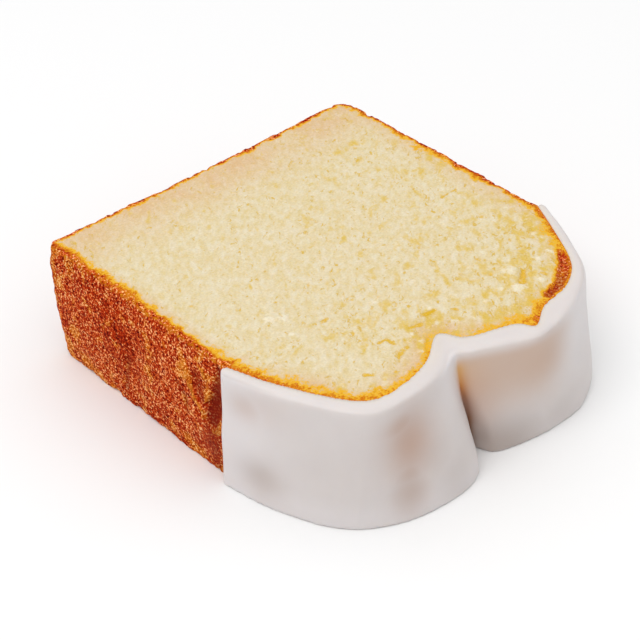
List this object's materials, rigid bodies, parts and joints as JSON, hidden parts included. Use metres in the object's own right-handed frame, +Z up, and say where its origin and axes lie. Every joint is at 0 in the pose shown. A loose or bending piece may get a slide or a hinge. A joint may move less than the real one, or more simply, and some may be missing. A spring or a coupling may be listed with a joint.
{
  "type": "iced lemon loaf cake slice",
  "caption": "Thick slice of lemon loaf cake lying on a cut face, with pale crumb, browned crust walls and base, and a white icing coat over its cracked domed top.",
  "frame": {"origin": "middle of the slice's box, on the surface that it lies on", "axes": "+X across the loaf, -Y the way the loaf rose in its tin, towards the iced dome, +Z up, along the loaf's length, which is the slice's thickness"},
  "size_m": [0.0996, 0.1036, 0.032],
  "materials": {
    "sponge": "baked lemon sponge: pale open crumb on the cut faces, red-brown grainy crust on walls and base",
    "icing": "set white sugar icing, smooth and satin"
  },
  "bodies": {
    "root": {"cake": "sponge", "icing": "icing"}
  },
  "joints": []
}
